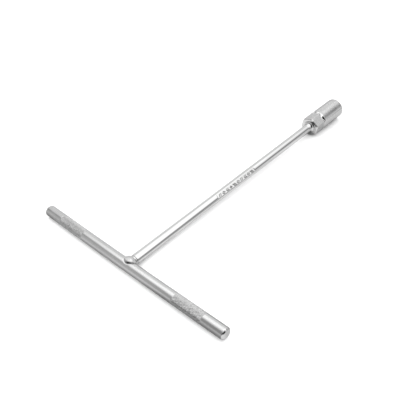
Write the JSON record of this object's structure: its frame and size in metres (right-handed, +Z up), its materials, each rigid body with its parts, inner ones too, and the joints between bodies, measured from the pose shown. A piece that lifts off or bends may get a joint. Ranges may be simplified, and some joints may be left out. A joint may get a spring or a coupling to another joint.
{
  "type": "t-handle socket wrench",
  "caption": "T-handle wrench: a round cross bar with knurled grips welded to a long rod that ends in a hexagon socket.",
  "frame": {"origin": "centre of the floor of the socket's hexagon recess, on the rod's axis", "axes": "+Y along the rod, out of the recess towards the fastener; +X along the cross bar; +Z up, with the tool lying on its side"},
  "size_m": [0.2024, 0.3073, 0.0202],
  "materials": {
    "bar_chrome": "chrome plate over a drawn bar, slightly dull, with two rolled knurled bands",
    "rod_chrome": "bright chrome plate",
    "socket_chrome": "satin chrome plate over a forged and turned surface",
    "weld_chrome": "chrome plate over a weld bead"
  },
  "bodies": {
    "root": {"cross_bar": "bar_chrome", "shaft": "rod_chrome", "socket": "socket_chrome", "handle_weld_bead": "weld_chrome", "socket_weld_bead": "weld_chrome"}
  },
  "joints": []
}
